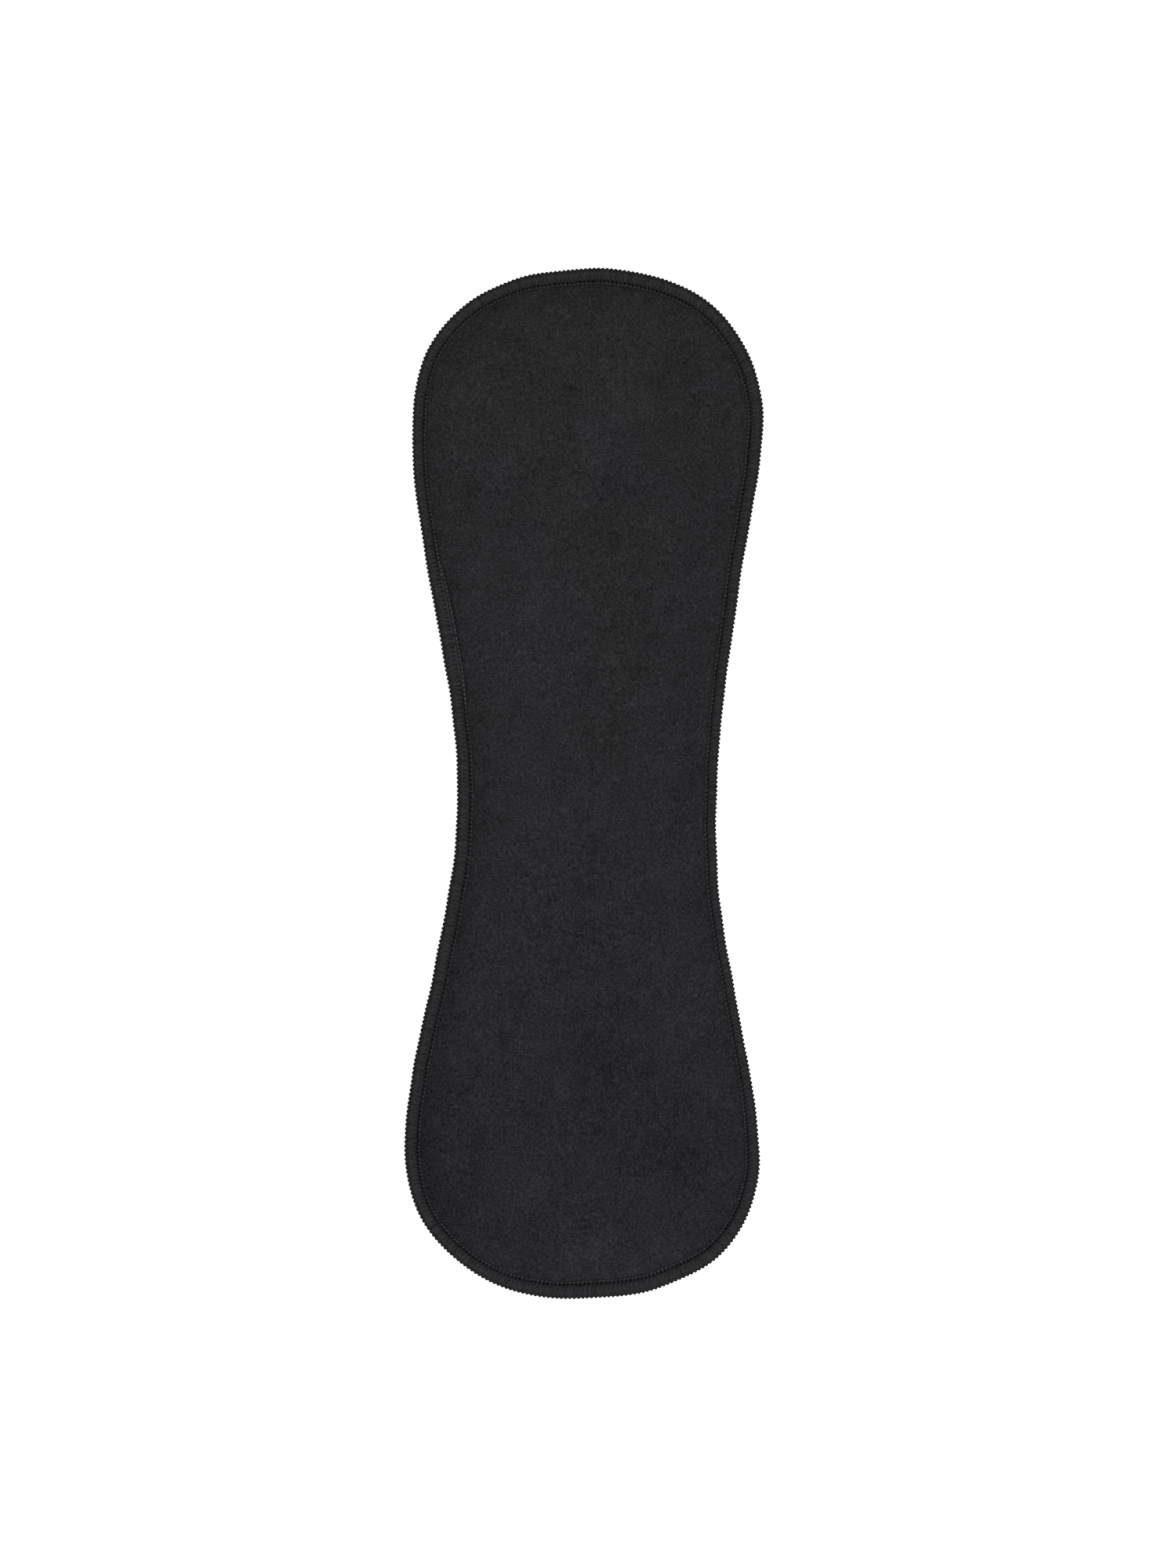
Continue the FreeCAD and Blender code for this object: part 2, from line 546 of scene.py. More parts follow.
NAP_AND_SHADE_PATCHES = (
    NapAndShadePatch(0, -132, 76, 110, 90, -0.155),
    NapAndShadePatch(4, 127, 38, 9, 55, 0.10),
    NapAndShadePatch(36, 149, 13, 11, 0, -0.15),
    NapAndShadePatch(49, 102, 18, 9, 90, -0.16),
    NapAndShadePatch(8, 103, 13, 11, 0, -0.08),
    NapAndShadePatch(-22, 42, 30, 12, 90, 0.09),
    NapAndShadePatch(37, 15, 27, 7, 90, -0.12),
    NapAndShadePatch(7, -8, 10, 9, 0, 0.08),
    NapAndShadePatch(0, -50, 16, 13, 20, -0.09),
    NapAndShadePatch(38, -41, 11, 9, 0, -0.12),
    NapAndShadePatch(8, -102, 16, 12, 70, -0.16),
    NapAndShadePatch(37, -92, 18, 11, 90, 0.10),
    NapAndShadePatch(28, -140, 18, 10, -10, -0.13),
    NapAndShadePatch(-22, -146, 18, 12, 30, 0.08),
    NapAndShadePatch(-54, -143, 18, 11, 90, -0.22),
    NapAndShadePatch(-38, -158, 13, 9, -30, -0.12),
    NapAndShadePatch(18, -172, 20, 8, 5, 0.14),
    NapAndShadePatch(-62, 142, 16, 7, 80, -0.12),
    NapAndShadePatch(-4, -182, 42, 10, 0, 0.15),
)
PATCH_RAGGED = 10 * MM
PATCH_RAGGED_SIZE = 11 * MM


def nap_and_shade(points: np.ndarray) -> np.ndarray:
    """The relative change of tone at each point from patches that are partly the nap and partly painted
    shade, with ragged outlines.

    Args:
        points: An (n, 2) array of places.

    Returns:
        One change each.
    """
    ways = (Pattern.PATCH_ALONG, Pattern.PATCH_ACROSS)
    shift = [grain(points, PATCH_RAGGED_SIZE, way) for way in ways]
    ragged = points + np.stack(shift, axis=1) * PATCH_RAGGED
    return sum(patch.at(ragged) for patch in NAP_AND_SHADE_PATCHES)


def mark(mesh: bpy.types.Mesh, edge: SewnEdge) -> None:
    """Stores what the finishes read at each point: the place in the seam, which sets its painted shade,
    and the patches of nap and painted shade.

    Args:
        mesh: The piece's mesh.
        edge: The stitched edge.
    """
    co = np.zeros(len(mesh.vertices) * 3)
    mesh.vertices.foreach_get("co", co)
    points = co.reshape(-1, 3)[:, :2]
    stitch = (edge.locate(points)[1] - edge.overlap[0]) * edge.lap
    values = {
        "seam_inset": edge.depth_of_shade(points),
        "seam_stitch": stitch,
        "nap_and_shade": nap_and_shade(points),
    }
    for name, value in values.items():
        marks = mesh.attributes.new(name, "FLOAT", "POINT")
        marks.data.foreach_set("value", value.astype(np.float32))


def placed(name: str, mesh: bpy.types.Mesh, node: str, slot: Slot) -> bpy.types.Object:
    """A finished piece that rides on its body in place of its CAD node.

    Args:
        name: The piece's name.
        mesh: Its mesh.
        node: The CAD node that it replaces.
        slot: Its material slot.

    Returns:
        The piece.
    """
    piece = linked(name, mesh)
    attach(piece, BODY)
    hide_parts(node)
    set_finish(piece, slot.value)
    return piece


# ---------------------------------------------------------------- cut cloth


@dataclass(frozen=True)
class Mesher:
    """How finely a piece of cloth is meshed: rows of points along the seam, an even field inside.

    The gap between the last row and the field, and the field's jitter, are shares of its spacing.
    """

    rows: tuple[float, ...]
    step: float
    spacing: float
    gap: float = 0.7
    jitter: float = 0.2

    def cut(self, edge: SewnEdge) -> tuple[np.ndarray, list[list[int]]]:
        """A flat mesh of the insert's outline.

        Args:
            edge: The stitched edge.

        Returns:
            The points, as an (n, 2) array, and the faces, as lists of point numbers. The first row
            of points is the cut edge.
        """
        count = int(edge.length / self.step)
        share = np.arange(count) / count
        rows = [edge.at(share, edge.drifted(np.full(count, row), share)) for row in self.rows]
        low, high = edge.points.min(axis=0), edge.points.max(axis=0)
        xs = np.arange(low[0], high[0], self.spacing)
        ys = np.arange(low[1], high[1], self.spacing * math.sqrt(3) / 2)
        field_x, field_y = np.meshgrid(xs, ys)
        field_x[1::2] += self.spacing / 2
        field = np.stack([field_x.ravel(), field_y.ravel()], axis=1)
        draw = np.random.default_rng(SEED)
        field += draw.uniform(-self.jitter, self.jitter, field.shape) * self.spacing
        inset, share_in = edge.locate(field)
        keep = edge.undrifted(inset, share_in) > self.rows[-1] + self.gap * self.spacing
        points = np.concatenate([*rows, field[keep]])
        ring = [(i, (i + 1) % count) for i in range(count)]
        found = geometry.delaunay_2d_cdt([Vector(p) for p in points], ring, [], 1, WELD)
        return np.array([tuple(v) for v in found[0]]), [list(f) for f in found[2]]


FINE = Mesher(
    rows=tuple(r * MM for r in (0.05, 1.3, 2.4, 3.4, 3.95, 4.3, 4.65, 5.1, 5.8, 6.8, 8.1, 9.6)),
    step=1.2 * MM,
    spacing=2.0 * MM,
)
COARSE = Mesher(rows=tuple(r * MM for r in (0.05, 2.4, 4.3, 6.8, 9.6)), step=3 * MM, spacing=4 * MM)
SIMULATED = Mesher(rows=(0.05 * MM, 4.9 * MM), step=3 * MM, spacing=3 * MM)


@dataclass
class ClothRelief:
    """Cloth simulation of the face panel: a panel a little too large for its seam, on a soft core.

    The seam holds it all round and the core's loft holds it down lightly, so the spare cloth
    buckles into low soft ripples.
    """

    edge: SewnEdge
    spare: float = 0.035
    core_hold: float = 0.12
    stiffness: float = 12.0
    bending: float = 0.6
    mass: float = 0.3
    air_damping: float = 2.0
    quality: int = 5
    start_shake: float = 0.02
    neighbours: int = 6
    blur: float = 0.1 * MM
    frames: int = 24
    cap: float = 0.45 * MM
    scale: float = 10.0

    def __post_init__(self) -> None:
        """Runs the simulation."""
        self.points, faces = SIMULATED.cut(self.edge)
        self.heights = self._simulated(faces)
        self._tree = search_tree(self.points)

    def _simulated(self, faces: list[list[int]]) -> np.ndarray:
        """Heights of the panel's points after the simulation, with nothing above the cap.

        Args:
            faces: The panel's faces, as lists of point numbers.

        Returns:
            One height each.
        """
        draw = np.random.default_rng(SEED)
        shake = draw.uniform(-self.start_shake, self.start_shake, len(self.points))
        start = shake * MM * self.scale
        mesh = bpy.data.meshes.new("face_cloth_sim")
        places = [(x * self.scale, y * self.scale, z) for (x, y), z in zip(self.points, start)]
        mesh.from_pydata(places, [], faces)
        piece = linked("face_cloth_sim", mesh)
        inset, share = self.edge.locate(self.points)
        sewn = self.edge.undrifted(inset, share) < self.edge.needle + MM
        held = piece.vertex_groups.new(name="held")
        held.add([int(i) for i in np.flatnonzero(sewn)], 1.0, "REPLACE")
        held.add([int(i) for i in np.flatnonzero(~sewn)], self.core_hold, "REPLACE")
        cloth = piece.modifiers.new("sewn", "CLOTH")
        cloth.settings.quality = self.quality
        cloth.settings.mass = self.mass
        cloth.settings.tension_stiffness = self.stiffness
        cloth.settings.compression_stiffness = self.stiffness
        cloth.settings.shear_stiffness = self.stiffness / 2
        cloth.settings.bending_stiffness = self.bending
        cloth.settings.air_damping = self.air_damping
        cloth.settings.shrink_min = -self.spare
        cloth.settings.vertex_group_mass = "held"
        cloth.settings.pin_stiffness = 1.0
        cloth.settings.effector_weights.gravity = 0
        cloth.collision_settings.use_collision = False
        scene = bpy.context.scene
        for number in range(1, self.frames + 1):
            scene.frame_set(number)
        shown = piece.evaluated_get(bpy.context.evaluated_depsgraph_get())
        found = np.zeros(len(self.points) * 3)
        shown.data.vertices.foreach_get("co", found)
        bpy.data.objects.remove(piece)
        bpy.data.meshes.remove(mesh)
        scene.frame_set(1)
        rise = found.reshape(-1, 3)[:, 2] / self.scale
        LOG.info("cloth relief: %.2f to %.2f mm before the cap", rise.min() / MM, rise.max() / MM)
        return self.cap * np.tanh(rise / self.cap)

    def at(self, points: np.ndarray) -> np.ndarray:
        """The relief at any places, weighted from the nearest simulated points.

        Args:
            points: An (n, 2) array of places.

        Returns:
            One height each.
        """
        found = []
        for x, y in points:
            near = self._tree.find_n((x, y, 0), self.neighbours)
            weight = np.array([1 / (away + self.blur) ** 2 for _, _, away in near])
            height = self.heights[[i for _, i, _ in near]]
            found.append(float((weight * height).sum() / weight.sum()))
        return np.array(found)


@dataclass
class Ply:
    """One ply: a closed piece of cloth between two surfaces of the pad."""

    name: str
    node: str
    level: int
    slot: Slot
    rests_on: str
    clearance: float = 0.015 * MM

    def build(self, pad: Pad, mesher: Mesher) -> bpy.types.Object:
        """Cuts the ply, gives it its thickness and lays it in the stack.

        Args:
            pad: The heights of the ply surfaces.
            mesher: How finely to mesh it.

        Returns:
            The finished piece, riding on its body.
        """
        points, faces = mesher.cut(pad.edge)
        under = pad.surface(self.level, points) + self.clearance
        over = pad.surface(self.level + 1, points) - self.clearance
        bm = bmesh.new()
        number = bm.verts.layers.int.new("number")
        verts = [bm.verts.new((x, y, z)) for (x, y), z in zip(points, under)]
        for i, v in enumerate(verts):
            v[number] = i
        for face in faces:
            bm.faces.new([verts[i] for i in face])
        raised = bmesh.ops.extrude_face_region(bm, geom=bm.faces[:])
        for v in (g for g in raised["geom"] if isinstance(g, bmesh.types.BMVert)):
            v.co.z = over[v[number]]
        bmesh.ops.recalc_face_normals(bm, faces=bm.faces)
        mesh = bpy.data.meshes.new(self.name)
        bm.to_mesh(mesh)
        bm.free()
        mesh.shade_smooth()
        mark(mesh, pad.edge)
        piece = placed(self.name, mesh, self.node, self.slot)
        x, y = pad.edge.points.T
        area = 0.5 * abs(np.dot(x, np.roll(y, -1)) - np.dot(y, np.roll(x, -1)))
        area -= pad.edge.length * mesher.rows[0]
        return piece


# ---------------------------------------------------------------- seam threads


@dataclass(frozen=True)
class Beat:
    """One point that a thread passes at every stitch.

    along is the share of the stitch, across the share of the way in to the needle's row, depth 0 on
    the underside and 1 on the face, and rise the height over that surface in millimetres.
    """

    along: float
    across: float
    depth: float
    rise: float = 0.0


@dataclass
class Seam:
    """Where the overlock's stitches lie. It starts on one side, goes once round and overruns.

    climb and parts_at are stitches past the lap's end. edge_share and fan_reach are shares of the
    way in to the needle's row: the first keeps the wraps on the edge, the second widens the legs.
    """

    pad: Pad
    second_height: float = 0.28 * MM
    second_under: float = -0.15
    climb: Span = (-4, 3)
    parts_at: int = -2
    fan: float = 0.12
    fan_reach: Span = (0.4, 0.8)
    edge_share: float = 0.1

    def __post_init__(self) -> None:
        """Counts the stitches of the whole seam."""
        start, end = self.pad.edge.overlap
        self.lap = self.pad.edge.lap
        self.total = self.lap + round(self.lap * (end - start))

    def second(self, stitch: np.ndarray) -> np.ndarray:
        """0 on the first pass and 1 where the seam runs over its own start."""
        return eased(self.lap + self.climb[0], self.lap + self.climb[1], stitch)

    def thread(self, beats: Sequence[Beat], wobble: float, floats: range = range(0)) -> np.ndarray:
        """The points of a thread that repeats the same beats at every stitch.

        Args:
            beats: What it does at each stitch.
            wobble: How uneven it is, in millimetres.
            floats: Stitches that the thread skips, lying loose on the face.

        Returns:
            An (n, 3) array.
        """
        edge = self.pad.edge
        draw = np.random.default_rng(SEED + len(beats))
        whole = np.repeat(np.arange(self.total), len(beats))
        along = np.tile([b.along for b in beats], self.total)
        across = np.tile([b.across for b in beats], self.total)
        depth = np.tile([b.depth for b in beats], self.total)
        rise = np.tile([b.rise for b in beats], self.total) * MM
        loose = (whole >= floats.start) & (whole < floats.stop)
        keep = ~(loose & (depth < 1))
        shake = draw.normal(0, wobble * MM, (3, len(whole)))
        stitch = whole + along + shake[0] / edge.pitch
        share = edge.overlap[0] + stitch / self.lap
        apart = edge.doubled(share) * (stitch > self.lap + self.parts_at)
        line = edge.needle + edge.drift(share) + apart * edge.second_row
        across *= 1 + self.fan * apart * eased(*self.fan_reach, across) * (across < 1)
        inset = across * line + shake[1] * (across > self.edge_share)
        held = np.minimum(inset, line)
        top = self.pad.height(len(self.pad.plies), held, share)
        bottom = self.pad.height(0, held, share)
        side = np.where(depth > 0.5, 1, self.second_under)
        over = self.second_height * self.second(stitch) * side
        height = bottom + (top - bottom) * depth + rise + over + shake[2] * (depth == 1)
        places = edge.at(share, inset)
        found = np.concatenate([places, height[:, None]], axis=1)
        return found[keep]


@dataclass
class ThreadPiece:
    """One of the seam's threads, as a tube along its own path."""

    name: str
    node: str
    slot: Slot
    beats: tuple[Beat, ...]
    width: float
    thickness: float
    wobble: float = 0.03
    floats: range = range(0)
    sides: int = 6
    floor_gap: float = 0.01 * MM

    def build(self, seam: Seam) -> bpy.types.Object:
        """Lays the thread and turns it into a mesh.

        Args:
            seam: Where the stitches lie.

        Returns:
            The finished piece, riding on its body.
        """
        points = seam.thread(self.beats, self.wobble, self.floats)
        points[:, 2] = np.maximum(points[:, 2], self.thickness / 2 + self.floor_gap)
        section = self._section()
        curve = bpy.data.curves.new(self.name + "_path", "CURVE")
        curve.dimensions = "3D"
        curve.twist_mode = "Z_UP"
        curve.resolution_u = 2
        curve.use_fill_caps = True
        curve.bevel_mode = "OBJECT"
        curve.bevel_object = section
        spline = curve.splines.new("NURBS")
        spline.points.add(len(points) - 1)
        spline.points.foreach_set("co", np.c_[points, np.ones(len(points))].ravel())
        spline.order_u = 3
        spline.use_endpoint_u = True
        path = linked(self.name + "_path", curve)
        shown = path.evaluated_get(bpy.context.evaluated_depsgraph_get())
        mesh = bpy.data.meshes.new_from_object(shown)
        for spent in (path, section):
            bpy.data.objects.remove(spent)
        bm = bmesh.new()
        bm.from_mesh(mesh)
        bmesh.ops.recalc_face_normals(bm, faces=bm.faces)
        bm.to_mesh(mesh)
        bm.free()
        mesh.shade_smooth()
        mark(mesh, seam.pad.edge)
        mesh.name = self.name
        return placed(self.name, mesh, self.node, self.slot)

    def _section(self) -> bpy.types.Object:
        """The thread's oval section.

        Returns:
            A closed curve.
        """
        curve = bpy.data.curves.new(self.name + "_section", "CURVE")
        curve.dimensions = "2D"
        oval = curve.splines.new("POLY")
        oval.points.add(self.sides - 1)
        for i, point in enumerate(oval.points):
            turn = 2 * math.pi * i / self.sides
            point.co = (self.width / 2 * math.cos(turn), self.thickness / 2 * math.sin(turn), 0, 1)
        oval.use_cyclic_u = True
        return linked(self.name + "_section", curve)


# ---------------------------------------------------------------- finishes


class Nodes:
    """Adds and links the nodes of one tree."""

    def __init__(self, tree: bpy.types.NodeTree) -> None:
        """Keeps the tree."""
        self.tree = tree

    def add(self, kind: str, inputs: dict | None = None, **settings: object) -> bpy.types.Node:
        """A new node.

        Args:
            kind: The node's type name, without its ShaderNode prefix.
            inputs: Values or output sockets for its inputs, by name or number.
            settings: The node's own settings.

        Returns:
            The node.
        """
        node = self.tree.nodes.new("ShaderNode" + kind)
        for name, value in settings.items():
            setattr(node, name, value)
        for name, value in (inputs or {}).items():
            if isinstance(value, bpy.types.NodeSocket):
                self.tree.links.new(value, node.inputs[name])
            else:
                node.inputs[name].default_value = value
        return node

    def maths(self, operation: str, *values: object) -> bpy.types.NodeSocket:
        """The output of a Math node on these values or sockets."""
        node = self.add("Math", dict(enumerate(values)), operation=operation)
        return node.outputs[0]

    def noise(self, vector: object, scale: float, detail: float, roughness: float) -> object:
        """The value of a Noise Texture."""
        inputs = {"Vector": vector, "Scale": scale, "Detail": detail, "Roughness": roughness}
        return self.add("TexNoise", inputs).outputs["Fac"]

    def ranged(self, value: object, low: float, high: float, to_low: float, to_high: float) -> object:
        """A value carried from one range to another, clamped."""
        return self.add("MapRange", {0: value, 1: low, 2: high, 3: to_low, 4: to_high}).outputs[0]


def new_group(name: str, inputs: dict[str, tuple[str, float]], outputs: Sequence[str]) -> tuple:
    """An empty shader node group.

    Args:
        name: The group's name.
        inputs: Socket type and default of each input, by name.
        outputs: The names of its float outputs.

    Returns:
        The group, its Nodes helper, its input node and its output node.
    """
    group = bpy.data.node_groups.new(name, "ShaderNodeTree")
    for label, (kind, default) in inputs.items():
        socket = group.interface.new_socket(label, in_out="INPUT", socket_type=kind)
        if kind == "NodeSocketFloat":
            socket.default_value = default
    for label in outputs:
        group.interface.new_socket(label, in_out="OUTPUT", socket_type="NodeSocketFloat")
    nodes = Nodes(group)
    return group, nodes, nodes.tree.nodes.new("NodeGroupInput"), nodes.tree.nodes.new("NodeGroupOutput")


STRANDS_PER_TUFT = 2.3
STRAND_HEIGHT = 0.6
FUZZ_SIZE = 0.75 * MM


def pile_group() -> bpy.types.NodeTree:
    """The raised pile of a brushed cloth: a tone that varies tuft by tuft, and the pile's height.

    The tone is about 0 on average. The finest tufts lie along the wales and the courses, and
    coarser, weaker noises lie under them.

    Returns:
        The group.
    """
    sockets = {"Vector": ("NodeSocketVector", 0.0), "Tuft": ("NodeSocketFloat", 0.7 * MM)}
    group, n, inside, out = new_group("brushed_pile", sockets, ("Tone", "Height"))
    per_tuft = n.maths("DIVIDE", 1.0, inside.outputs["Tuft"])
    sized = n.add("VectorMath", {0: inside.outputs["Vector"], "Scale": per_tuft}, operation="SCALE")
    total = 0.0
    rows = (
        ((1.25, 0.62, 1.0), 0.80),
        ((0.62, 1.25, 1.0), 0.75),
        ((0.53, 0.53, 0.53), 0.12),
        ((0.24, 0.24, 0.24), 0.12),
    )
    for scale, weight in rows:
        combed = n.add("VectorMath", {0: sized.outputs[0], 1: scale}, operation="MULTIPLY")
        tuft = n.maths("SUBTRACT", n.noise(combed.outputs[0], 1.0, 0.0, 0.5), 0.5)
        total = n.maths("ADD", n.maths("MULTIPLY", tuft, weight), total)
    n.tree.links.new(total, out.inputs["Tone"])
    strands = n.noise(sized.outputs[0], STRANDS_PER_TUFT, 1.0, 0.5)
    height = n.maths("ADD", total, n.maths("MULTIPLY", strands, STRAND_HEIGHT))
    n.tree.links.new(height, out.inputs["Height"])
    return group


def mottle_group() -> bpy.types.NodeTree:
    """Soft cloudy changes of tone, about 0 on average, as a nap lies one way here, another there.

    Returns:
        The group.
    """
    sockets = {"Vector": ("NodeSocketVector", 0.0)}
    group, n, inside, out = new_group("nap_mottle", sockets, ("Cloud", "Patch", "Tint"))
    rows = (("Cloud", 8 * MM, 1.0), ("Patch", 40 * MM, 2.0), ("Tint", 30 * MM, 1.0))
    for label, size, detail in rows:
        shift = n.add("VectorMath", {0: inside.outputs["Vector"], 1: (size, 0, size)})
        cloud = n.maths("SUBTRACT", n.noise(shift.outputs[0], 1 / size, detail, 0.55), 0.5)
        n.tree.links.new(cloud, out.inputs[label])
    return group


# Millimetres into the seam, and how bright its painted shade leaves it there: darkest at the cut edge,
# dark again by the needle's row, and fading out further in.
SEAM_SHADE: Keys = (
    (0.0, 0.25),
    (0.9, 0.74),
    (1.5, 1.00),
    (2.4, 0.92),
    (3.0, 0.84),
    (3.7, 0.86),
    (4.3, 0.82),
    (5.0, 0.64),
    (5.7, 0.80),
    (6.6, 0.90),
    (8.5, 0.93),
    (12.0, 0.96),
    (16.0, 1.00),
)
NEEDLE_HOLES = 4.1  # millimetres into the seam
# How much the painted shade in a needle hole darkens, for the faintest and for the darkest holes.
SHALLOW_HOLE_SHADE = 0.5
DEEP_HOLE_SHADE = 0.95


def seam_group() -> bpy.types.NodeTree:
    """How much darker painted shade makes thread and cloth at each depth into the seam: its groove, its
    edge and its needle holes.

    Returns:
        The group.
    """
    group, n, _, out = new_group("seam_shade", {}, ("Shade", "Uneven"))
    inset = n.add("Attribute", attribute_name="seam_inset").outputs["Fac"]
    reach = SEAM_SHADE[-1][0]
    ramp = n.add("ValToRGB", {0: n.maths("DIVIDE", inset, reach)}).color_ramp
    ramp.interpolation = "EASE"
    while len(ramp.elements) < len(SEAM_SHADE):
        ramp.elements.new(0.5)
    for element, (place, shade) in zip(ramp.elements, SEAM_SHADE):
        element.position = place / reach
        element.color = (shade, shade, shade, 1)
    # Painted shade in the needle holes: one hole a stitch along the needle's row, some darker than
    # others.
    stitch = n.add("Attribute", attribute_name="seam_stitch").outputs["Fac"]
    along = n.maths("COSINE", n.maths("MULTIPLY", stitch, 2 * math.pi))
    off_row = n.maths("ABSOLUTE", n.maths("SUBTRACT", inset, NEEDLE_HOLES))
    hole_shade = n.maths("MULTIPLY", n.ranged(along, -0.3, 0.6, 0, 1), n.ranged(off_row, 0.3, 0.8, 1, 0))
    each = n.add("TexNoise", {"W": stitch, "Scale": 0.45}, noise_dimensions="1D").outputs["Fac"]
    depth = n.ranged(each, 0.35, 0.6, SHALLOW_HOLE_SHADE, DEEP_HOLE_SHADE)
    clear_of_hole_shade = n.maths("SUBTRACT", 1.0, n.maths("MULTIPLY", hole_shade, depth))
    shade = n.maths("MULTIPLY", group.nodes["Color Ramp"].outputs[0], clear_of_hole_shade)
    n.tree.links.new(shade, out.inputs["Shade"])
    uneven = n.add("TexNoise", {"W": stitch, "Scale": 0.9}, noise_dimensions="1D").outputs["Fac"]
    n.tree.links.new(uneven, out.inputs["Uneven"])
    return group


def twist_group() -> bpy.types.NodeTree:
    """The twisted filaments of a thread, laid along its own UV map.

    Returns:
        The group.
    """
    sockets = {"Turns": ("NodeSocketFloat", 9000.0), "Lean": ("NodeSocketFloat", 2.0)}
    group, n, inside, out = new_group("thread_twist", sockets, ("Strand", "Fuzz"))
    uv = n.add("UVMap", uv_map="UVMap")
    split = n.add("SeparateXYZ", {0: uv.outputs[0]})
    along = n.maths("MULTIPLY", split.outputs[0], inside.outputs["Turns"])
    around = n.maths("MULTIPLY", split.outputs[1], inside.outputs["Lean"])
    phase = n.maths("MULTIPLY", n.maths("ADD", along, around), 2 * math.pi)
    strand = n.ranged(n.maths("SINE", phase), -1.0, 1.0, 0.0, 1.0)
    n.tree.links.new(strand, out.inputs["Strand"])
    place = n.add("TexCoord").outputs["Object"]
    n.tree.links.new(n.noise(place, 1 / FUZZ_SIZE, 2.0, 0.6), out.inputs["Fuzz"])
    return group


def start_material(name: str) -> tuple[bpy.types.Material, Nodes, bpy.types.Node]:
    """A new material with its helper and its Principled BSDF.

    Args:
        name: Its name.

    Returns:
        All three.
    """
    material = bpy.data.materials.new(name)
    material.use_nodes = True
    return material, Nodes(material.node_tree), material.node_tree.nodes["Principled BSDF"]


def settle(node: bpy.types.Node, values: dict[str, object]) -> None:
    """Sets the constants of a node's own sockets, by name."""
    for name, value in values.items():
        node.inputs[name].default_value = value


def scaled(colour: Colour, by: Colour) -> Colour:
    """A colour with each channel multiplied."""
    return tuple(a * b for a, b in zip(colour, by))


def tinted(n: Nodes, colour: Colour | bpy.types.NodeSocket, tone: object) -> object:
    """A colour made lighter and darker by a tone that is 1 on average."""
    shade = n.add("VectorMath", {0: colour, "Scale": tone}, operation="SCALE")
    return shade.outputs[0]


@dataclass(frozen=True)
class BrushedKnit:
    """A near-black brushed knit: short raised pile, a mottled nap with patches of painted shade, and
    painted shade at the seam's edge and in its groove.
    """

    name: str
    slot: Slot
    brightness: float = 0.64
    tuft: float = 0.64 * MM
    speckle: float = 1.85
    cloud: float = 0.45
    patch: float = 0.3
    plain: Colour = (0.985, 1.0, 0.945)
    blue: Colour = (1.0, 0.99, 1.05)
    blue_middle: float = 0.4
    blue_rear: float = 2.2
    roughness: float = 0.92

    def make(self, groups: Groups) -> bpy.types.Material:
        """Builds the material from the shared groups.

        Args:
            groups: The groups by name.

        Returns:
            The material.
        """
        pile, mottle, seam = groups["pile"], groups["mottle"], groups["seam"]
        material, n, shader = start_material(self.name)
        place = n.add("TexCoord").outputs["Object"]
        fibres = n.add("Group", node_tree=pile)
        n.tree.links.new(place, fibres.inputs["Vector"])
        settle(fibres, {"Tuft": self.tuft})
        clouds = n.add("Group", node_tree=mottle)
        n.tree.links.new(place, clouds.inputs["Vector"])
        # Patches of nap and of painted shade, stored on each piece.
        nap_and_shade_tone = n.add("Attribute", attribute_name="nap_and_shade").outputs["Fac"]
        parts = (
            (fibres.outputs["Tone"], self.speckle),
            (clouds.outputs["Cloud"], self.cloud),
            (clouds.outputs["Patch"], self.patch),
            (nap_and_shade_tone, 1.0),
        )
        lift = 1.0
        for value, weight in parts:
            lift = n.maths("ADD", n.maths("MULTIPLY", value, weight / 2), lift)
        tone = n.maths("POWER", n.maths("MAXIMUM", lift, 0.4), 2.0)
        # Painted shade of the seam's edge, groove and needle holes.
        shade = n.add("Group", node_tree=seam).outputs["Shade"]
        shade = n.maths("MULTIPLY", shade, self.brightness)
        tone = n.maths("MULTIPLY", tone, shade)
        forward = n.add("SeparateXYZ", {0: place}).outputs[1]
        rearward = n.maths("MULTIPLY", forward, -self.blue_rear)
        blue = n.maths("ADD", n.maths("ADD", self.blue_middle, rearward), clouds.outputs["Tint"])
        hue = n.add("Mix", {0: blue}, data_type="RGBA")
        hue.inputs[6].default_value = (*scaled(self.slot.colour(), self.plain), 1.0)
        hue.inputs[7].default_value = (*scaled(self.slot.colour(), self.blue), 1.0)
        n.tree.links.new(tinted(n, hue.outputs[2], tone), shader.inputs["Base Color"])
        rough = n.ranged(fibres.outputs["Tone"], -0.2, 0.2, self.roughness - 0.08, self.roughness + 0.06)
        n.tree.links.new(rough, shader.inputs["Roughness"])
        raised = {"Height": fibres.outputs["Height"], "Distance": 0.10 * MM, "Strength": 0.6}
        n.tree.links.new(n.add("Bump", raised).outputs[0], shader.inputs["Normal"])
        cool = (0.85, 0.86, 1.0, 1.0)
        cloth = {"Specular IOR Level": 0.05, "Sheen Weight": 0.04, "Sheen Roughness": 0.45}
        settle(shader, cloth | {"Sheen Tint": cool})
        return material


